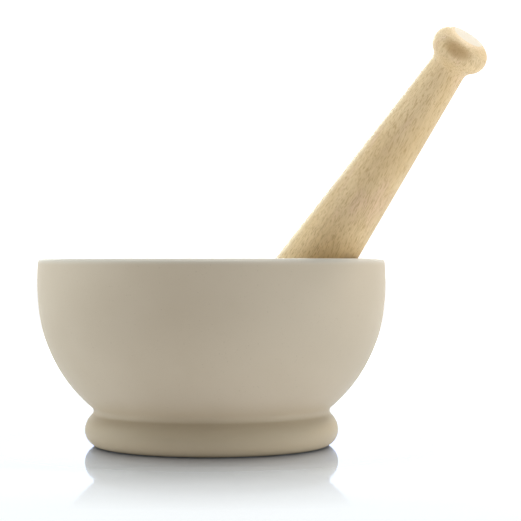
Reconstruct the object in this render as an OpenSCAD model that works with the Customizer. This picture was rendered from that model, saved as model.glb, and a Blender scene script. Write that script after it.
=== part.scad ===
// Stoneware mortar with a pestle that has a wooden handle and a stoneware head.
// Millimetres, +Z up. The origin is on the mortar's axis, on the plane its foot stands on.
// The pestle leans against the inner edge of the rim, towards +X and -Y.

/* [Mortar] */
// Outer diameter at the widest point
bowl_d = 200; // [196:1:206]
// Height from the foot to the rim
mortar_h = 107.5; // [105:0.5:112]
// Depth of the widest point below the rim
widest_depth = 12.8; // [10:0.2:16]
// Radius of the gentle curve of the upper wall
wall_arc_r = 142; // [130:1:160]
// Depth below the rim at which the wall turns into the belly
belly_depth = 29.4; // [26:0.2:34]
// Radius of the belly's curve
belly_arc_r = 85.7; // [84:0.1:88]

/* [Hollow of the bowl] */
// Radius of the round hollow that the head grinds in
hollow_r = 87; // [86:0.5:88]
// Depth of the hollow's centre below the rim
hollow_centre_depth = 8; // [7:0.5:10]

/* [Rim] */
// Rounding of the rim's outer edge
rim_outer_edge_r = 2.6; // [1.5:0.1:3.5]
// Rounding of the rim's inner edge
rim_inner_edge_r = 4; // [3.5:0.1:4.5]

/* [Foot] */
// Outer diameter of the foot's bead
foot_d = 145.8; // [142:0.2:150]
// Height of the bead's widest point above the ground
foot_bead_z = 9.1; // [8.8:0.1:9.2]
// Rounding of the bead's upper half
foot_upper_r = 12; // [11:0.5:13]
// Rounding of the bead's lower half
foot_lower_r = 9.2; // [9.1:0.1:10]
// Rounding of the crease between the foot and the belly
crease_r = 3; // [2:0.5:4]
// Diameter of the recess inside the foot ring
foot_recess_d = 112; // [104:1:116]
// Depth of that recess
foot_recess_h = 3; // [1:0.5:4]

/* [Pestle's place] */
// Angle between the pestle and the vertical
pestle_lean = 41.1; // [40.5:0.1:41.1]
// Direction that the pestle leans in, in degrees from +X
pestle_heading = -42.5; // [-45:0.5:-42]
// X of the head's centre as it rests in the bowl
head_rest_x = 20.9; // [20.2:0.1:21.1]
// Y of the head's centre as it rests in the bowl
head_rest_y = 13.6; // [13.6:0.1:14.5]
// Clearance between the head and the bowl
head_gap = 0.3; // [0.2:0.05:0.4]

/* [Pestle's head] */
// Diameter of the grinding head at its widest
head_d = 56; // [52:1:56]
// Length of the head, tip to collar
head_h = 51; // [48:1:53]
// Radius of the curve from the head's widest point up to its collar
head_shoulder_r = 60; // [55:1:70]
// Diameter of the socket for the handle's tenon
socket_d = 27; // [24:0.5:30]
// Depth of the socket
socket_h = 30; // [24:1:30]

/* [Handle] */
// Radius of the handle where it meets the head
handle_base_r = 23.3; // [22:0.1:23.5]
// Length from the head's collar to the end of the knob
handle_h = 211.9; // [205:0.1:214]
// Radius that the handle loses in each millimetre of its length
handle_taper = 0.069; // [0.066:0.001:0.07]
// Radius of the hollow curve between the handle and its knob
neck_arc_r = 7; // [6:0.5:8]
// Largest radius of the knob
knob_r = 15.6; // [15:0.1:17]
// Rounding of the knob's side
knob_side_r = 8; // [7.9:0.1:8.4]
// Distance from the knob's widest point to its flat end
knob_crown_h = 7.8; // [6:0.1:7.8]
// Small bevel at both sides of the glued joint
joint_bevel = 0.8; // [0.4:0.1:1]

/* [Cement] */
// Thickness of the cement around the tenon
cement_wall = 0.5; // [0.3:0.1:1]
// Thickness of the cement under the tenon
cement_floor = 1.2; // [0.5:0.1:2]
// Number of keying grooves turned in the tenon
key_grooves = 3; // [1:1:4]
// Depth of each keying groove
key_groove_h = 1; // [0.5:0.1:1.5]

/* [Hidden] */
$fn = 128;
margin = 1;                          // how far a cutting shape runs past a face
stoneware = "#cfc3ad";
beech = "#d6bb8f";
adhesive = "#8f8a7f";
arc_max_step = 12;                   // largest turn, in degrees, between two points of an arc
arc_length = 4;                      // largest distance between two points of an arc

// Mortar: heights above the ground, and centres [radius, height] of the profile's arcs
bowl_r = bowl_d / 2;
foot_r = foot_d / 2;
widest_z = mortar_h - widest_depth;
belly_z = mortar_h - belly_depth;
hollow_z = mortar_h - hollow_centre_depth;
wall_c = [bowl_r - wall_arc_r, widest_z];
// The wall's arc passes into the belly's arc at this point, in the same direction
belly_rise = (belly_z - widest_z) / wall_arc_r;
belly_run = sqrt(1 - belly_rise * belly_rise);
belly_c = wall_c + (wall_arc_r - belly_arc_r) * [belly_run, belly_rise];
bead_upper_c = [foot_r - foot_upper_r, foot_bead_z];
bead_lower_c = [foot_r - foot_lower_r, foot_bead_z];
crease_c = outer_meeting(belly_c, belly_arc_r + crease_r, bead_upper_c, foot_upper_r + crease_r);
edge_z = mortar_h - rim_outer_edge_r;

// Pestle, in its own frame: the tip at the origin, the handle along +Z
head_r = head_d / 2;
socket_r = socket_d / 2;
tenon_r = socket_r - cement_wall;
tenon_h = socket_h - cement_floor;
socket_z = head_h - socket_h;
pestle_h = head_h + handle_h;
knob_z = pestle_h - knob_crown_h;
knob_c = [knob_r - knob_side_r, knob_z];
// The neck's hollow arc touches the handle's tapered side below it and the knob's arc above it
side_up = [-handle_taper, 1] / norm([handle_taper, 1]);
side_out = [side_up[1], -side_up[0]];
neck_gap = neck_arc_r + knob_side_r;
neck_out = ([taper_r(knob_z), knob_z] - knob_c) * side_out + neck_arc_r;
neck_c = knob_c + neck_out * side_out - sqrt(pow(neck_gap, 2) - pow(neck_out, 2)) * side_up;
key_pitch = tenon_h / (key_grooves + 1);
head_rest_r = norm([head_rest_x, head_rest_y]);
head_rest_z = hollow_z - sqrt(pow(hollow_r - head_r - head_gap, 2) - pow(head_rest_r, 2));

// Radius of the tapered handle at a height in the pestle's frame
function taper_r(z) = handle_base_r - handle_taper * (z - head_h);

// The point at distance ra from a and rb from b that lies further from the axis
function outer_meeting(a, ra, b, rb) =
    let (gap = norm(b - a), along = (gap * gap + ra * ra - rb * rb) / (2 * gap),
         aside = sqrt(ra * ra - along * along), u = (b - a) / gap)
    a + along * u + aside * [-u[1], u[0]] * (u[1] < 0 ? 1 : -1);

// Direction of a point seen from c, in degrees
function bearing(c, p) = atan2(p[1] - c[1], p[0] - c[0]);

// Points along an arc about c, from one bearing to another, close enough for a smooth curve.
// first = 1 leaves out the starting point, for an arc that goes on from the one before it.
function arc(c, r, from, to, first = 1) =
    let (step = min(arc_max_step, arc_length / r * 180 / PI), n = max(2, ceil(abs(to - from) / step)))
    [for (i = [first : n]) let (a = from + (to - from) * i / n) c + r * [cos(a), sin(a)]];

// Bearing, seen from a centre at height c_z, of the point at height z on an arc of radius r
function level(c_z, r, z) = asin((z - c_z) / r);

// Outline of the mortar's outside, from the ground up to the rim
function mortar_outline() =
    let (top = level(widest_z, wall_arc_r, edge_z),
         edge_r = wall_c[0] + wall_arc_r * cos(top) - rim_outer_edge_r)
    concat([[0, 0]],
           arc(bead_lower_c, foot_lower_r, level(foot_bead_z, foot_lower_r, 0), 0, first = 0),
           arc(bead_upper_c, foot_upper_r, 0, bearing(bead_upper_c, crease_c)),
           arc(crease_c, crease_r, bearing(crease_c, bead_upper_c), bearing(crease_c, belly_c) - 360),
           arc(belly_c, belly_arc_r, bearing(belly_c, crease_c), level(belly_c[1], belly_arc_r, belly_z)),
           arc(wall_c, wall_arc_r, level(widest_z, wall_arc_r, belly_z), top),
           arc([edge_r, edge_z], rim_outer_edge_r, 0, 90),
           [[0, mortar_h]]);

// Outline of the bowl's round hollow, which opens out over the rim's inner edge
function hollow_outline() =
    let (top_z = mortar_h - rim_inner_edge_r, top = level(hollow_z, hollow_r, top_z),
         top_r = hollow_r * cos(top) + rim_inner_edge_r)
    concat(arc([0, hollow_z], hollow_r, -90, top, first = 0),
           arc([top_r, top_z], rim_inner_edge_r, 180, 90),
           [[top_r, mortar_h + margin], [0, mortar_h + margin]]);

// Bowl and foot are one piece of fired stoneware
module mortar() {
    color(stoneware) difference() {
        rotate_extrude() polygon(mortar_outline());
        rotate_extrude() polygon(hollow_outline());
        translate([0, 0, -margin]) cylinder(d = foot_recess_d, h = foot_recess_h + margin);
    }
}

// Part of a circle about c that lies between two heights, on the axis's outer side
module arc_band(c, r, z0, z1) {
    intersection() {
        translate(c) circle(r);
        translate([0, z0]) square([c[0] + r + margin, z1 - z0]);
    }
}

// Puts a part drawn in the pestle's frame in its resting place
module in_pestle_place() {
    translate([head_rest_x, head_rest_y, head_rest_z])
        rotate([0, pestle_lean, pestle_heading]) translate([0, 0, -head_r]) children();
}

// Outline of the tenon's side with its keying grooves, from its lower end up to the head's collar
function tenon_outline() = concat(
    [[0, head_h - tenon_h], [tenon_r, head_h - tenon_h]],
    [for (i = [1 : key_grooves])
        each arc([tenon_r, head_h - tenon_h + i * key_pitch], key_groove_h, -90, -270, first = 0)],
    [[tenon_r, head_h]]);

// Outline of the handle: tenon, long taper, hollow neck and a knob with a flat end
function handle_outline() = concat(
    tenon_outline(),
    [[handle_base_r - joint_bevel, head_h], [taper_r(head_h + joint_bevel), head_h + joint_bevel]],
    arc(neck_c, neck_arc_r, 180 + atan(handle_taper), bearing(neck_c, knob_c), first = 0),
    arc(knob_c, knob_side_r, bearing(knob_c, neck_c), level(knob_z, knob_side_r, pestle_h)),
    [[0, pestle_h]]);

// Outline of the blind socket, with one groove that keys the cement
module socket_section() {
    translate([0, socket_z]) square([socket_r, socket_h]);
    translate([socket_r, socket_z + socket_h / 2]) circle(key_groove_h);
}

// Bulb of stoneware: a half ball below, a gentle shoulder up to the collar
module pestle_head() {
    shoulder_c = [head_r - head_shoulder_r, head_r];
    collar_r = shoulder_c[0] + sqrt(pow(head_shoulder_r, 2) - pow(head_h - head_r, 2));
    color(stoneware) in_pestle_place() rotate_extrude() difference() {
        union() {
            arc_band([0, head_r], head_r, 0, head_r);
            arc_band(shoulder_c, head_shoulder_r, head_r, head_h);
        }
        socket_section();
        polygon([[collar_r - joint_bevel, head_h], [collar_r + margin, head_h + margin],
                 [collar_r + margin, head_h - joint_bevel]]);
    }
}

// Thin sleeve of adhesive that fills the socket around the tenon
module head_cement() {
    color(adhesive) in_pestle_place() rotate_extrude() difference() {
        socket_section();
        polygon(concat(tenon_outline(), [[0, head_h]]));
    }
}

// The handle is one piece of turned wood
module pestle_handle() {
    color(beech) in_pestle_place() rotate_extrude() polygon(handle_outline());
}

mortar();
pestle_head();
head_cement();
pestle_handle();
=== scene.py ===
"""A stoneware mortar and its wooden-handled pestle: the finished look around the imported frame.

Metres, in the part's frame: +Z up, the origin on the mortar's axis where its foot stands.
The pestle's pieces are drawn in the pestle's own frame, with its tip at the origin and the handle
along +Z, and then stood in their resting place.
"""

import math

import bmesh
import bpy
from mathutils import Matrix, Vector


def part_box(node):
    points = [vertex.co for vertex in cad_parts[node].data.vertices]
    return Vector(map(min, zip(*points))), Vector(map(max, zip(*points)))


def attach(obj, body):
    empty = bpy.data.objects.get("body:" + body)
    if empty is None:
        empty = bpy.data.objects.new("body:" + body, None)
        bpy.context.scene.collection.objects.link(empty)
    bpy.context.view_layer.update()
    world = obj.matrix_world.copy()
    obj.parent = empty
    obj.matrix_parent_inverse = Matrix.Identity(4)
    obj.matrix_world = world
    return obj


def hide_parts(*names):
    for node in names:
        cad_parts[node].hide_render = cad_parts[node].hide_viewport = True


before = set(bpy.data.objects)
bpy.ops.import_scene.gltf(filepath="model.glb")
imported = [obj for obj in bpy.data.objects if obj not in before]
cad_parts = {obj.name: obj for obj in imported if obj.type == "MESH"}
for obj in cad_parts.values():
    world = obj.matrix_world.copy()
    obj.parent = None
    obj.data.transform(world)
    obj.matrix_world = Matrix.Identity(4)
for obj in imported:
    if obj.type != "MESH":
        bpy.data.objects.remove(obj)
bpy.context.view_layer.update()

MM = 0.001

# ---- Driving dimensions -------------------------------------------------------------------------

# Mortar
mortar_low, mortar_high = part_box("mortar")
BOWL_R = -mortar_low.x
MORTAR_H = mortar_high.z
WIDEST_Z = MORTAR_H - 12.8 * MM
WALL_ARC_R = 142 * MM
BELLY_Z = MORTAR_H - 29.4 * MM
BELLY_ARC_R = 85.7 * MM
HOLLOW_R = 87 * MM
HOLLOW_Z = MORTAR_H - 8 * MM
RIM_OUTER_EDGE_R = 2.6 * MM
RIM_INNER_EDGE_R = 4 * MM
FOOT_R = 72.9 * MM
FOOT_BEAD_Z = 9.1 * MM
FOOT_UPPER_R = 12 * MM
FOOT_LOWER_R = 9.2 * MM
CREASE_R = 3 * MM
RECESS_R = 56 * MM
RECESS_H = 3 * MM
RECESS_EDGE_R = 0.8 * MM
RECESS_CORNER_R = 1.5 * MM

# Pestle, in its own frame
HEAD_R = 28 * MM
HEAD_H = 51 * MM
SHOULDER_R = 60 * MM
SOCKET_R = 13.5 * MM
SOCKET_H = 30 * MM
TENON_R = 13 * MM
TENON_H = 28.8 * MM
KEY_GROOVES = 3
KEY_GROOVE_R = 1 * MM
HANDLE_BASE_R = 23.3 * MM
PESTLE_H = 262.9 * MM
HANDLE_TAPER = 0.069
NECK_ARC_R = 7 * MM
KNOB_R = 15.6 * MM
KNOB_SIDE_R = 8 * MM
KNOB_CROWN_H = 7.8 * MM
JOINT_EDGE_R = 0.8 * MM
END_EDGE_R = 0.5 * MM

# The pestle's resting place
PESTLE_LEAN = math.radians(41.1)
PESTLE_HEADING = math.radians(-42.5)
head_low, head_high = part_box("pestle_head")
HEAD_CENTRE = Vector((head_low.x + HEAD_R, head_high.y - HEAD_R, head_low.z + HEAD_R))

# Mesh fineness
RING_POINTS = 256
PROFILE_STEP = 1.4 * MM
SMALL_ARC_STEPS = 5
SHARP_ANGLE = math.radians(40)

# Marks of use, with painted shade on the foot and a painted highlight round the rim
WEAR_TOP_Z = 58 * MM
WEAR_FULL_Z = 30 * MM
STANDING_TOP_Z = 0.7 * MM
STANDING_FULL_Z = 0.1 * MM
# Painted shade: the foot under the bowl's overhang is darkened and warmed, more from this height down to
# its bead
FOOT_SHADE_TOP_Z = 34 * MM
# Painted highlight: a paler band round the rim's top, standing in for light caught by its rounded edges
RIM_HIGHLIGHT_LOW_Z = MORTAR_H - 4 * MM
RIM_HIGHLIGHT_HIGH_Z = MORTAR_H - 0.6 * MM

# Growth of the handle, with painted light low down, painted shade on the knob and a painted highlight on
# its end
PITH = (52 * MM, -34 * MM, 0)
RING_PITCH = 2.6 * MM
RING_WANDER = 6 * MM
GRAIN_LEAN = (math.radians(-3.5), math.radians(4.9), 0)
# Painted shade: a dark patch on the side of the knob that faces this way, above this height
KNOB_SHADE_WAY = Vector((0.400, -0.796, 0.454))
KNOB_SHADE_Z = 247 * MM
KNOB_SHADE_FADE = 4 * MM
# Painted highlight: a pale off-centre patch on the knob's flat end
END_HIGHLIGHT_CENTRE = (-1.4 * MM, 2.1 * MM, PESTLE_H)
END_HIGHLIGHT_R = 8.8 * MM
END_HIGHLIGHT_FADE = 0.8 * MM
# Painted light: the handle is paler from here down towards the rim, lifting the shade it lies in there
LOWER_PAINTED_LIGHT_TOP_Z = 155 * MM
LOWER_PAINTED_LIGHT_FULL_Z = 112 * MM

# Grain patterns: how often they change per metre along x, y and z
TURNING_LINES = (6, 6, 700)
GRINDING_STROKES = (60, 60, 900)
RING_WARP = (30, 30, 7)
FLECKS = (2000, 2000, 260)
STREAKS = (1700, 1700, 60)
PORES = (3200, 3200, 300)
PATCHES = (55, 55, 22)
BLUSH = (90, 90, 35)

# Colours: stoneware
CREAM_DARK = (0.578, 0.482, 0.360, 1)
CREAM_LIGHT = (0.613, 0.517, 0.395, 1)
HEAD_CREAM_DARK = (0.58, 0.51, 0.395, 1)
HEAD_CREAM_LIGHT = (0.62, 0.55, 0.43, 1)
IRON_BROWN = (0.36, 0.28, 0.20, 1)
GROUND_GREY = (0.50, 0.49, 0.46, 1)
# Painted shade on the foot under the bowl
FOOT_PAINTED_SHADE = (0.53, 0.42, 0.26, 1)
STANDING_GREY = (0.40, 0.37, 0.32, 1)
# Painted highlight round the rim's top
RIM_PAINTED_HIGHLIGHT = (0.76, 0.735, 0.685, 1)
TIP_CREAM = (0.58, 0.56, 0.51, 1)

# Colours: beech and adhesive
BEECH_DARK = (0.71, 0.51, 0.27, 1)
BEECH_LIGHT = (0.79, 0.59, 0.34, 1)
BEECH_PINK = (0.78, 0.545, 0.36, 1)
# Painted light on the lower handle
BEECH_PAINTED_LIGHT = (0.92, 0.69, 0.38, 1)
LATE_WOOD = (0.52, 0.37, 0.18, 1)
STREAK_BROWN = (0.48, 0.33, 0.15, 1)
FLECK_BROWN = (0.40, 0.22, 0.06, 1)
PORE_BROWN = (0.36, 0.215, 0.07, 1)
# Painted shade on one side of the knob
KNOB_PAINTED_SHADE = (0.46, 0.265, 0.09, 1)
# Painted highlight on the knob's flat end
END_PAINTED_HIGHLIGHT = (0.68, 0.59, 0.47, 1)
ADHESIVE_DARK = (0.30, 0.28, 0.24, 1)
ADHESIVE_LIGHT = (0.42, 0.40, 0.35, 1)

# Camera and light
CAMERA_PLACE = Vector((0, -1.0, MORTAR_H))
CAMERA_LENS = 119.7
CAMERA_YAW = math.radians(1.61)
CAMERA_PITCH = math.radians(-0.07)
LIGHT_REACH = 1.25
COOL_LIGHT = (0.90, 1.0, 1.06)
COOL_BACK_LIGHT = (0.83, 0.97, 1)
COOL_HIGH_LIGHT = (0.88, 0.97, 1)
WHITE_LIGHT = (1, 1, 1)
WHITE_GLOW = 1.33
WHITE = (1, 1, 1, 1)
SOFT_GLOW = 0.05
SOFT_WARM = (1, 0.95, 0.90, 1)

# Floor: a white sheet whose glow is painted light, strongest in a ring just outside the foot to light its
# underside, with a dip beyond that paints a darker ring. Each row of its glow is where it starts, where it
# ends and what it adds.
FLOOR_HALF = 8.0
FLOOR_GLOW = ((0.0655, 0.077, 0.40), (0.082, 0.105, -0.14), (0.10, 0.18, 0.13), (0.35, 0.80, 0.61))
# Painted shade: the sheet is greyer from the foot out to this distance
PAINTED_SHADE_END_R = 0.11
CONTACT_PAINTED_SHADE = (0.45, 0.45, 0.45, 1)
SHEET_GREY = (0.6, 0.6, 0.6, 1)
GLOSS_END_R = 0.262
GLOSS_MOST = 0.915
GLOSS_TINT = (0.81, 0.915, 1.18, 1)
GLOSS_ROUGHNESS = 0.035


# ---- Profiles: lists of (radius, height) --------------------------------------------------------

def arc(centre, radius, start, end):
    """Points along an arc about centre, from one bearing to another, in radians."""
    steps = max(SMALL_ARC_STEPS, math.ceil(abs(end - start) * radius / PROFILE_STEP))
    bearings = [start + (end - start) * i / steps for i in range(steps + 1)]
    return [(centre[0] + radius * math.cos(a), centre[1] + radius * math.sin(a)) for a in bearings]


def line(start, end):
    """Points along a straight stretch, two profile steps apart at most."""
    a, b = Vector(start), Vector(end)
    steps = max(1, math.ceil((b - a).length / (2 * PROFILE_STEP)))
    return [tuple(a.lerp(b, i / steps)) for i in range(steps + 1)]


def bearing(centre, point):
    """Direction of a point seen from centre, in radians."""
    return math.atan2(point[1] - centre[1], point[0] - centre[0])


def level(centre_z, radius, z):
    """Bearing of the point at height z on an arc's outer side."""
    return math.asin(max(-1.0, min(1.0, (z - centre_z) / radius)))


def outer_meeting(a, reach_a, b, reach_b):
    """The point at distance reach_a from a and reach_b from b that lies further from the axis."""
    gap = (b - a).length
    along = (gap * gap + reach_a * reach_a - reach_b * reach_b) / (2 * gap)
    aside = math.sqrt(reach_a * reach_a - along * along)
    towards = (b - a) / gap
    square = Vector((-towards.y, towards.x))
    return max((a + along * towards + s * aside * square for s in (-1, 1)), key=lambda p: p.x)


def without_repeats(points):
    """The same outline without points that repeat the one before them."""
    kept = [points[0]]
    for point in points[1:]:
        if (Vector(point) - Vector(kept[-1])).length > 0.01 * MM:
            kept.append(point)
    return kept


def mortar_foot():
    """From the middle of the recess, round the foot ring, to the widest point of its bead."""
    ceiling_r = RECESS_R - RECESS_CORNER_R
    bead = (FOOT_R - FOOT_LOWER_R, FOOT_BEAD_Z)
    ground = level(FOOT_BEAD_Z, FOOT_LOWER_R, 0)
    ground_r = bead[0] + FOOT_LOWER_R * math.cos(ground)
    return [
        *line((0, RECESS_H), (ceiling_r, RECESS_H)),
        *arc((ceiling_r, RECESS_H - RECESS_CORNER_R), RECESS_CORNER_R, math.pi / 2, 0),
        *arc((RECESS_R + RECESS_EDGE_R, RECESS_EDGE_R), RECESS_EDGE_R, math.pi, 1.5 * math.pi),
        *line((RECESS_R + RECESS_EDGE_R, 0), (ground_r, 0)),
        *arc(bead, FOOT_LOWER_R, ground, 0),
    ]


def mortar_outside():
    """From the widest point of the foot's bead up to the flat top of the rim."""
    bead = Vector((FOOT_R - FOOT_UPPER_R, FOOT_BEAD_Z))
    wall = Vector((BOWL_R - WALL_ARC_R, WIDEST_Z))
    turn = level(WIDEST_Z, WALL_ARC_R, BELLY_Z)
    belly = wall + (WALL_ARC_R - BELLY_ARC_R) * Vector((math.cos(turn), math.sin(turn)))
    crease = outer_meeting(belly, BELLY_ARC_R + CREASE_R, bead, FOOT_UPPER_R + CREASE_R)
    edge_z = MORTAR_H - RIM_OUTER_EDGE_R
    top = level(WIDEST_Z, WALL_ARC_R, edge_z)
    edge_r = wall.x + WALL_ARC_R * math.cos(top) - RIM_OUTER_EDGE_R
    return [
        *arc(bead, FOOT_UPPER_R, 0, bearing(bead, crease)),
        *arc(crease, CREASE_R, bearing(crease, bead), bearing(crease, belly) - math.tau),
        *arc(belly, BELLY_ARC_R, bearing(belly, crease), level(belly.y, BELLY_ARC_R, BELLY_Z)),
        *arc(wall, WALL_ARC_R, turn, top),
        *arc((edge_r, edge_z), RIM_OUTER_EDGE_R, 0, math.pi / 2),
    ]


def mortar_inside():
    """From the flat top of the rim down to the middle of the hollow."""
    edge_z = MORTAR_H - RIM_INNER_EDGE_R
    top = level(HOLLOW_Z, HOLLOW_R, edge_z)
    edge_r = HOLLOW_R * math.cos(top) + RIM_INNER_EDGE_R
    return [
        *arc((edge_r, edge_z), RIM_INNER_EDGE_R, math.pi / 2, math.pi),
        *arc((0, HOLLOW_Z), HOLLOW_R, top, -math.pi / 2),
    ]


def head_profile():
    """The grinding head, from its tip up to the collar and down into the socket."""
    shoulder = (HEAD_R - SHOULDER_R, HEAD_R)
    collar = level(HEAD_R, SHOULDER_R, HEAD_H - JOINT_EDGE_R)
    collar_r = shoulder[0] + SHOULDER_R * math.cos(collar) - JOINT_EDGE_R
    floor_z = HEAD_H - SOCKET_H
    groove = (SOCKET_R, floor_z + SOCKET_H / 2)
    return [
        *arc((0, HEAD_R), HEAD_R, -math.pi / 2, 0),
        *arc(shoulder, SHOULDER_R, 0, collar),
        *arc((collar_r, HEAD_H - JOINT_EDGE_R), JOINT_EDGE_R, 0, math.pi / 2),
        *line((collar_r, HEAD_H), (SOCKET_R, HEAD_H)),
        *arc(groove, KEY_GROOVE_R, math.pi / 2, -math.pi / 2),
        *line((SOCKET_R, floor_z), (0, floor_z)),
    ]


def tenon_profile():
    """The hidden end of the handle, with its keying grooves, up to the collar."""
    low = HEAD_H - TENON_H
    pitch = TENON_H / (KEY_GROOVES + 1)
    grooves = [
        point
        for i in range(1, KEY_GROOVES + 1)
        for point in arc((TENON_R, low + i * pitch), KEY_GROOVE_R, -math.pi / 2, -1.5 * math.pi)
    ]
    return [*line((0, low), (TENON_R, low)), *grooves, (TENON_R, HEAD_H)]


def taper_r(z):
    """Radius of the tapered handle at a height in the pestle's frame."""
    return HANDLE_BASE_R - HANDLE_TAPER * (z - HEAD_H)


def handle_profile():
    """The whole handle: tenon, long taper, hollow neck and a knob with a flat end."""
    side_up = Vector((-HANDLE_TAPER, 1)).normalized()
    side_out = Vector((side_up.y, -side_up.x))
    knob = Vector((KNOB_R - KNOB_SIDE_R, PESTLE_H - KNOB_CROWN_H))
    gap = NECK_ARC_R + KNOB_SIDE_R
    out = (Vector((taper_r(knob.y), knob.y)) - knob).dot(side_out) + NECK_ARC_R
    neck = knob + out * side_out - math.sqrt(gap * gap - out * out) * side_up
    base = HEAD_H + JOINT_EDGE_R
    edge_r = taper_r(base) - JOINT_EDGE_R
    neck_start = bearing(neck, neck - side_out) % math.tau
    crown = level(knob.y, KNOB_SIDE_R, PESTLE_H - END_EDGE_R)
    end_r = knob.x + KNOB_SIDE_R * math.cos(crown) - 2 * END_EDGE_R
    first_neck = neck - NECK_ARC_R * side_out
    return [
        *tenon_profile(),
        *line((TENON_R, HEAD_H), (edge_r, HEAD_H)),
        *arc((edge_r, base), JOINT_EDGE_R, -math.pi / 2, 0),
        *line((taper_r(base), base), first_neck),
        *arc(neck, NECK_ARC_R, neck_start, bearing(neck, knob)),
        *arc(knob, KNOB_SIDE_R, bearing(knob, neck), crown),
        *line((end_r, PESTLE_H), (0, PESTLE_H)),
    ]


# ---- Meshes -------------------------------------------------------------------------------------

def revolve(name, profile):
    """A closed mesh turned about Z from a profile that starts and ends on the axis."""
    profile = without_repeats(profile)
    mesh = bpy.data.meshes.new(name)
    build = bmesh.new()
    turns = [math.tau * i / RING_POINTS for i in range(RING_POINTS)]
    rings = [
        [build.verts.new((r * math.cos(a), r * math.sin(a), z)) for a in turns]
        for r, z in profile[1:-1]
    ]
    for lower, upper in zip(rings, rings[1:]):
        for i in range(RING_POINTS):
            j = (i + 1) % RING_POINTS
            build.faces.new((lower[i], lower[j], upper[j], upper[i]))
    for (_, z), ring in ((profile[0], rings[0]), (profile[-1], rings[-1])):
        middle = build.verts.new((0, 0, z))
        for i in range(RING_POINTS):
            build.faces.new((middle, ring[i], ring[(i + 1) % RING_POINTS]))
    bmesh.ops.recalc_face_normals(build, faces=build.faces)
    build.to_mesh(mesh)
    build.free()
    mesh.shade_smooth()
    mesh.set_sharp_from_angle(angle=SHARP_ANGLE)
    made = bpy.data.objects.new(name, mesh)
    bpy.context.scene.collection.objects.link(made)
    return made


def pestle_place():
    """Where the pestle's own frame stands while it rests in the bowl."""
    turn = Matrix.Rotation(PESTLE_HEADING, 4, "Z") @ Matrix.Rotation(PESTLE_LEAN, 4, "Y")
    return Matrix.Translation(HEAD_CENTRE) @ turn @ Matrix.Translation((0, 0, -HEAD_R))


PESTLE_PLACE = pestle_place()


def make_mortar(material):
    """Bowl and foot in one piece of stoneware."""
    made = revolve("mortar_body", [*mortar_foot(), *mortar_outside(), *mortar_inside()])
    made.data.materials.append(material)
    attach(made, "mortar")
    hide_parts("mortar")


def make_pestle_piece(name, profile, material, node):
    """A turned piece of the pestle, in its resting place."""
    made = revolve(name, profile)
    made.data.materials.append(material)
    made.data.transform(PESTLE_PLACE)
    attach(made, "pestle")
    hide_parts(node)


# ---- Materials ----------------------------------------------------------------------------------

def add_node(tree, kind, inputs=None, **settings):
    """A new node. Each input is a value, or another node's output to link."""
    made = tree.nodes.new(kind)
    for name, value in settings.items():
        setattr(made, name, value)
    for name, value in (inputs or {}).items():
        if isinstance(value, bpy.types.NodeSocket):
            tree.links.new(value, made.inputs[name])
        else:
            made.inputs[name].default_value = value
    return made


def new_material(name, frame_place=None):
    """A material, its tree, its shader and its coordinates, the part's or those of a placed frame."""
    made = bpy.data.materials.new(name)
    made.use_nodes = True
    tree = made.node_tree
    place = add_node(tree, "ShaderNodeTexCoord").outputs["Object"]
    if frame_place is not None:
        origin, turn = frame_place.to_translation(), frame_place.to_euler()
        inputs = {"Vector": place, "Location": origin, "Rotation": turn}
        place = add_node(tree, "ShaderNodeMapping", inputs, vector_type="TEXTURE").outputs[0]
    return made, tree, tree.nodes["Principled BSDF"], place


def stretched(tree, place, scale, turn=(0, 0, 0)):
    """The coordinates turned and scaled, for a pattern with a direction."""
    inputs = {"Vector": place, "Scale": scale, "Rotation": turn}
    return add_node(tree, "ShaderNodeMapping", inputs).outputs[0]


def height_of(tree, place):
    """How high the coordinates lie."""
    return add_node(tree, "ShaderNodeSeparateXYZ", {"Vector": place}).outputs["Z"]


def distance(tree, place, centre):
    """How far the coordinates lie from a point."""
    inputs = {0: place, 1: centre}
    return add_node(tree, "ShaderNodeVectorMath", inputs, operation="DISTANCE").outputs["Value"]


def cloud(tree, place, scale, detail):
    """Soft noise from 0 to 1."""
    inputs = {"Vector": place, "Scale": scale, "Detail": detail}
    return add_node(tree, "ShaderNodeTexNoise", inputs).outputs[0]


def strands(tree, place, scale, detail):
    """Soft noise from 0 to 1 that changes at its own pace along each axis."""
    return cloud(tree, stretched(tree, place, scale), 1, detail)


def between(tree, value, low, high, to_low=0.0, to_high=1.0, curve="SMOOTHSTEP"):
    """The value's range low..high spread over to_low..to_high."""
    inputs = {"Value": value, "From Min": low, "From Max": high, "To Min": to_low, "To Max": to_high}
    return add_node(tree, "ShaderNodeMapRange", inputs, interpolation_type=curve).outputs[0]


def tinted(tree, share, one, other):
    """One colour where share is 0, the other where it is 1."""
    inputs = {"Factor": share, 6: one, 7: other}
    return add_node(tree, "ShaderNodeMix", inputs, data_type="RGBA").outputs[2]


def compute(tree, operation, *values):
    """An arithmetic node's result."""
    return add_node(tree, "ShaderNodeMath", dict(enumerate(values)), operation=operation).outputs[0]


def marked(tree, body, marks):
    """A colour under a row of marks: each is where it shows, how strongly, and in what colour."""
    for mask, share, colour in marks:
        body = tinted(tree, compute(tree, "MULTIPLY", mask, share), body, colour)
    return body


def bumped(tree, height, depth, under=None):
    """A normal that follows a height from 0 to 1, depth metres deep."""
    inputs = {"Height": height, "Strength": 1.0, "Distance": depth}
    if under is not None:
        inputs["Normal"] = under
    return add_node(tree, "ShaderNodeBump", inputs).outputs[0]


def stoneware_grain(tree, place):
    """The fine sandy tooth of unglazed stoneware, over faint lines from turning."""
    lines = strands(tree, place, TURNING_LINES, 2)
    tooth = cloud(tree, place, 2200, 2)
    return bumped(tree, tooth, 0.03 * MM, bumped(tree, lines, 0.04 * MM))


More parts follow.
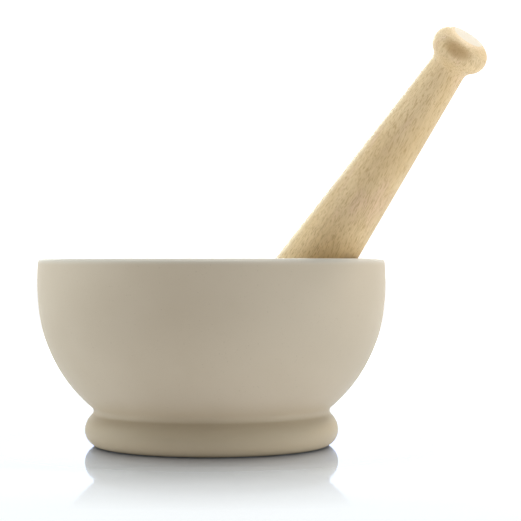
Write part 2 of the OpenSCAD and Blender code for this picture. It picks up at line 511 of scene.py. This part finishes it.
def stoneware_body(tree, place, dark, light):
    """Slow changes between two creams, with a few iron specks."""
    tone = between(tree, cloud(tree, place, 14, 4), 0.3, 0.7)
    specks = between(tree, cloud(tree, place, 900, 1), 0.70, 0.78)
    return marked(tree, tinted(tree, tone, dark, light), [(specks, 0.25, IRON_BROWN)])


def ground_hollow(tree, place):
    """Where grinding has rubbed the hollow, in strokes, from 0 to 1."""
    reach = distance(tree, place, (0, 0, HOLLOW_Z))
    inside = between(tree, reach, HOLLOW_R + 0.8 * MM, HOLLOW_R + 0.2 * MM)
    low = between(tree, height_of(tree, place), WEAR_TOP_Z, WEAR_FULL_Z)
    strokes = between(tree, strands(tree, place, GRINDING_STROKES, 3), 0.3, 0.7, 0.55, 1.0)
    return compute(tree, "MULTIPLY", compute(tree, "MULTIPLY", inside, low), strokes)


def finish_stoneware(tree, shader, place, colour, worn, rough, smooth):
    """Stoneware's colour, sheen and tooth, smoother where it is worn."""
    tree.links.new(colour, shader.inputs["Base Color"])
    shader.inputs["Specular IOR Level"].default_value = 0.3
    tree.links.new(between(tree, worn, 0, 1, rough, smooth), shader.inputs["Roughness"])
    tree.links.new(stoneware_grain(tree, place), shader.inputs["Normal"])


def stoneware_material():
    """Matte cream stoneware: painted shade on the foot, a painted highlight round the rim, and grey wear in
    the hollow and underneath.
    """
    made, tree, shader, place = new_material("stoneware_cream")
    height = height_of(tree, place)
    ground = ground_hollow(tree, place)
    marks = [
        (ground, 0.55, GROUND_GREY),
        # painted shade on the foot, darker towards its bead and below
        (between(tree, height, FOOT_SHADE_TOP_Z, FOOT_BEAD_Z), 0.8, FOOT_PAINTED_SHADE),
        (between(tree, height, STANDING_TOP_Z, STANDING_FULL_Z), 0.6, STANDING_GREY),
        # painted highlight round the rim's top
        (between(tree, height, RIM_HIGHLIGHT_LOW_Z, RIM_HIGHLIGHT_HIGH_Z), 0.42, RIM_PAINTED_HIGHLIGHT),
    ]
    body = marked(tree, stoneware_body(tree, place, CREAM_DARK, CREAM_LIGHT), marks)
    finish_stoneware(tree, shader, place, body, ground, rough=0.56, smooth=0.42)
    return made


def head_material():
    """The head's stoneware: the mortar's body, rubbed pale and smooth towards its tip."""
    made, tree, shader, place = new_material("stoneware_head", PESTLE_PLACE)
    worn = between(tree, height_of(tree, place), HEAD_R, 0.0)
    body = stoneware_body(tree, place, HEAD_CREAM_DARK, HEAD_CREAM_LIGHT)
    body = marked(tree, body, [(worn, 0.5, TIP_CREAM)])
    finish_stoneware(tree, shader, place, body, worn, rough=0.54, smooth=0.40)
    return made


def growth_rings(tree, place):
    """Bands round the pith, outside the handle, from 0 in early wood to 1 in late wood."""
    warp = strands(tree, place, RING_WARP, 2)
    split = add_node(tree, "ShaderNodeVectorMath", {0: place, 1: PITH}, operation="SUBTRACT").outputs[0]
    flat = add_node(tree, "ShaderNodeVectorMath", {0: split, 1: (1, 1, 0)}, operation="MULTIPLY").outputs[0]
    reach = add_node(tree, "ShaderNodeVectorMath", {0: flat}, operation="LENGTH").outputs["Value"]
    reach = compute(tree, "MULTIPLY_ADD", warp, RING_WANDER, reach)
    return between(tree, compute(tree, "FRACT", compute(tree, "DIVIDE", reach, RING_PITCH)), 0.45, 0.95)


def knob_painted_shade(tree, height):
    """Painted shade: the soft dark patch on the side of the knob that faces one way, from 0 to 1."""
    facing = add_node(tree, "ShaderNodeTexCoord").outputs["Normal"]
    middle = tuple(PESTLE_PLACE.to_3x3() @ KNOB_SHADE_WAY)
    turned = add_node(tree, "ShaderNodeVectorMath", {0: facing, 1: middle}, operation="DOT_PRODUCT")
    patch = between(tree, turned.outputs["Value"], 0.80, 0.98)
    knob = between(tree, height, KNOB_SHADE_Z, KNOB_SHADE_Z + KNOB_SHADE_FADE)
    return compute(tree, "MULTIPLY", patch, knob)


def painted_end_highlight(tree, place, height):
    """Painted highlight: the pale off-centre patch on the knob's flat end, from 0 to 1."""
    flat = between(tree, height, PESTLE_H - 0.12 * MM, PESTLE_H - 0.04 * MM)
    reach = distance(tree, place, END_HIGHLIGHT_CENTRE)
    return compute(tree, "MULTIPLY", flat, between(tree, reach, END_HIGHLIGHT_R, END_HIGHLIGHT_R - END_HIGHLIGHT_FADE))


def beech_material():
    """Bare turned beech: short dark flecks along the grain, painted light low down, painted shade on one
    side of the knob and a painted highlight on its flat end.
    """
    made, tree, shader, place = new_material("beech_turned", PESTLE_PLACE)
    leaned = stretched(tree, place, (1, 1, 1), GRAIN_LEAN)
    height = height_of(tree, place)
    flecks = between(tree, strands(tree, leaned, FLECKS, 3), 0.52, 0.64)
    streaks = between(tree, strands(tree, leaned, STREAKS, 3), 0.42, 0.68)
    pores = between(tree, strands(tree, leaned, PORES, 1), 0.55, 0.8)
    patches = between(tree, strands(tree, place, PATCHES, 3), 0.35, 0.65)
    marks = [
        (between(tree, strands(tree, place, BLUSH, 2), 0.5, 0.7), 0.6, BEECH_PINK),
        # painted light on the lower handle
        (between(tree, height, LOWER_PAINTED_LIGHT_TOP_Z, LOWER_PAINTED_LIGHT_FULL_Z), 0.8, BEECH_PAINTED_LIGHT),
        (growth_rings(tree, leaned), 0.14, LATE_WOOD),
        (streaks, 0.16, STREAK_BROWN),
        (flecks, 0.48, FLECK_BROWN),
        (pores, 0.30, PORE_BROWN),
        # painted shade on one side of the knob
        (knob_painted_shade(tree, height), 0.6, KNOB_PAINTED_SHADE),
        # painted highlight on the knob's flat end
        (painted_end_highlight(tree, place, height), 0.85, END_PAINTED_HIGHLIGHT),
    ]
    wood = marked(tree, tinted(tree, patches, BEECH_DARK, BEECH_LIGHT), marks)
    normal = bumped(tree, compute(tree, "SUBTRACT", 1.0, flecks), 0.04 * MM)
    normal = bumped(tree, compute(tree, "SUBTRACT", 1.0, pores), 0.03 * MM, normal)
    tree.links.new(wood, shader.inputs["Base Color"])
    tree.links.new(between(tree, streaks, 0, 1, 0.5, 0.62), shader.inputs["Roughness"])
    tree.links.new(normal, shader.inputs["Normal"])
    return made


def cement_material():
    """Set adhesive, greyish and grainy."""
    made, tree, shader, place = new_material("set_adhesive")
    body = tinted(tree, cloud(tree, place, 300, 3), ADHESIVE_DARK, ADHESIVE_LIGHT)
    grain = cloud(tree, place, 1200, 2)
    tree.links.new(body, shader.inputs["Base Color"])
    tree.links.new(between(tree, grain, 0.2, 0.8, 0.55, 0.75), shader.inputs["Roughness"])
    tree.links.new(bumped(tree, grain, 0.1 * MM), shader.inputs["Normal"])
    return made


# ---- Floor, light and camera --------------------------------------------------------------------

def floor_glow(tree, reach):
    """The sheet's glow at a distance from the middle: one straight ramp added to another."""
    glow = 0.0
    for start, end, added in FLOOR_GLOW:
        glow = compute(tree, "ADD", between(tree, reach, start, end, 0.0, added, "LINEAR"), glow)
    return glow


def floor_material():
    """Glowing and lit white, with painted shade darkening the sheet round the foot, and glossy near it when
    seen at a low angle.
    """
    made, tree, sheet, place = new_material("floor_white")
    reach = distance(tree, place, (0, 0, 0))
    # painted shade on the sheet round the foot
    painted_floor_shade = between(tree, reach, FOOT_R, PAINTED_SHADE_END_R, 0.0, 1.0, "LINEAR")
    sheet.inputs["Roughness"].default_value = 0.9
    sheet.inputs["Specular IOR Level"].default_value = 0.0
    sheet.inputs["Emission Color"].default_value = WHITE
    tree.links.new(tinted(tree, painted_floor_shade, CONTACT_PAINTED_SHADE, SHEET_GREY), sheet.inputs["Base Color"])
    tree.links.new(floor_glow(tree, reach), sheet.inputs["Emission Strength"])
    facing = add_node(tree, "ShaderNodeLayerWeight", {"Blend": 0.5}).outputs["Facing"]
    near = between(tree, reach, FOOT_R, GLOSS_END_R, GLOSS_MOST, 0.0, "LINEAR")
    share = compute(tree, "MULTIPLY", near, between(tree, facing, 0.5, 0.85))
    inputs = {"Color": GLOSS_TINT, "Roughness": GLOSS_ROUGHNESS}
    gloss = add_node(tree, "ShaderNodeBsdfGlossy", inputs).outputs[0]
    mixed = add_node(tree, "ShaderNodeMixShader", {0: share, 1: sheet.outputs[0], 2: gloss}).outputs[0]
    tree.links.new(mixed, tree.nodes["Material Output"].inputs["Surface"])
    return made


def make_floor():
    """The sheet that the mortar stands on."""
    mesh = bpy.data.meshes.new("floor")
    corners = [(x * FLOOR_HALF, y * FLOOR_HALF, 0) for x, y in ((-1, -1), (1, -1), (1, 1), (-1, 1))]
    mesh.from_pydata(corners, [], [(0, 1, 2, 3)])
    mesh.materials.append(floor_material())
    floor = bpy.data.objects.new("floor", mesh)
    bpy.context.scene.collection.objects.link(floor)


def make_world():
    """White behind the object, and a dimmer soft light from all round."""
    world = bpy.data.worlds.new("studio")
    bpy.context.scene.world = world
    world.use_nodes = True
    tree = world.node_tree
    seen = tree.nodes["Background"]
    seen.inputs["Color"].default_value = WHITE
    seen.inputs["Strength"].default_value = WHITE_GLOW
    soft = add_node(tree, "ShaderNodeBackground", {"Color": SOFT_WARM, "Strength": SOFT_GLOW}).outputs[0]
    ray = add_node(tree, "ShaderNodeLightPath").outputs
    share = compute(tree, "MAXIMUM", ray["Is Camera Ray"], ray["Is Glossy Ray"])
    mixed = add_node(tree, "ShaderNodeMixShader", {0: share, 1: soft, 2: seen.outputs[0]}).outputs[0]
    tree.links.new(mixed, tree.nodes["World Output"].inputs["Surface"])


def make_light(name, bearing_deg, elevation_deg, width, height, power, colour):
    """A softbox that faces the mortar. Bearing 0 is in front of it, and 90 is on its right."""
    light = bpy.data.lights.new(name, "AREA")
    light.shape = "RECTANGLE"
    light.size = width
    light.size_y = height
    light.energy = power
    light.color = colour
    lamp = bpy.data.objects.new(name, light)
    bpy.context.scene.collection.objects.link(lamp)
    round_it, up = math.radians(bearing_deg), math.radians(elevation_deg)
    flat = Vector((math.sin(round_it), -math.cos(round_it), 0))
    away = math.cos(up) * flat + math.sin(up) * Vector((0, 0, 1))
    lamp.location = Vector((0, 0, MORTAR_H / 2)) + LIGHT_REACH * away
    lamp.rotation_euler = (-away).to_track_quat("-Z", "Y").to_euler()


def make_lights():
    """A low softbox on each side, one behind, and three high ones: left, right and nearly overhead."""
    make_light("softbox_left", -95, 9, 0.9, 0.4, 3.9, COOL_LIGHT)
    make_light("softbox_right", 72, 8, 0.9, 0.4, 3.7, COOL_LIGHT)
    make_light("softbox_back", 180, 25, 1.2, 0.6, 14, COOL_BACK_LIGHT)
    make_light("softbox_high_left", -90, 65, 0.5, 0.5, 7.8, COOL_HIGH_LIGHT)
    make_light("softbox_top", 40, 70, 0.5, 0.5, 2.5, COOL_LIGHT)
    make_light("softbox_high_right", 98, 55, 0.25, 0.25, 6.5, WHITE_LIGHT)


def make_camera():
    """Level with the rim, as the object was seen."""
    data = bpy.data.cameras.new("camera")
    data.lens = CAMERA_LENS
    camera = bpy.data.objects.new("camera", data)
    bpy.context.scene.collection.objects.link(camera)
    camera.location = CAMERA_PLACE
    camera.rotation_euler = (math.pi / 2 + CAMERA_PITCH, 0, -CAMERA_YAW)
    bpy.context.scene.camera = camera


make_camera()
bpy.context.scene.view_settings.view_transform = "Standard"
make_mortar(stoneware_material())
make_pestle_piece("grinding_head", head_profile(), head_material(), "pestle_head")
make_pestle_piece("wooden_handle", handle_profile(), beech_material(), "pestle_handle")
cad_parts["head_cement"].data.materials[0] = cement_material()
make_floor()
make_world()
make_lights()
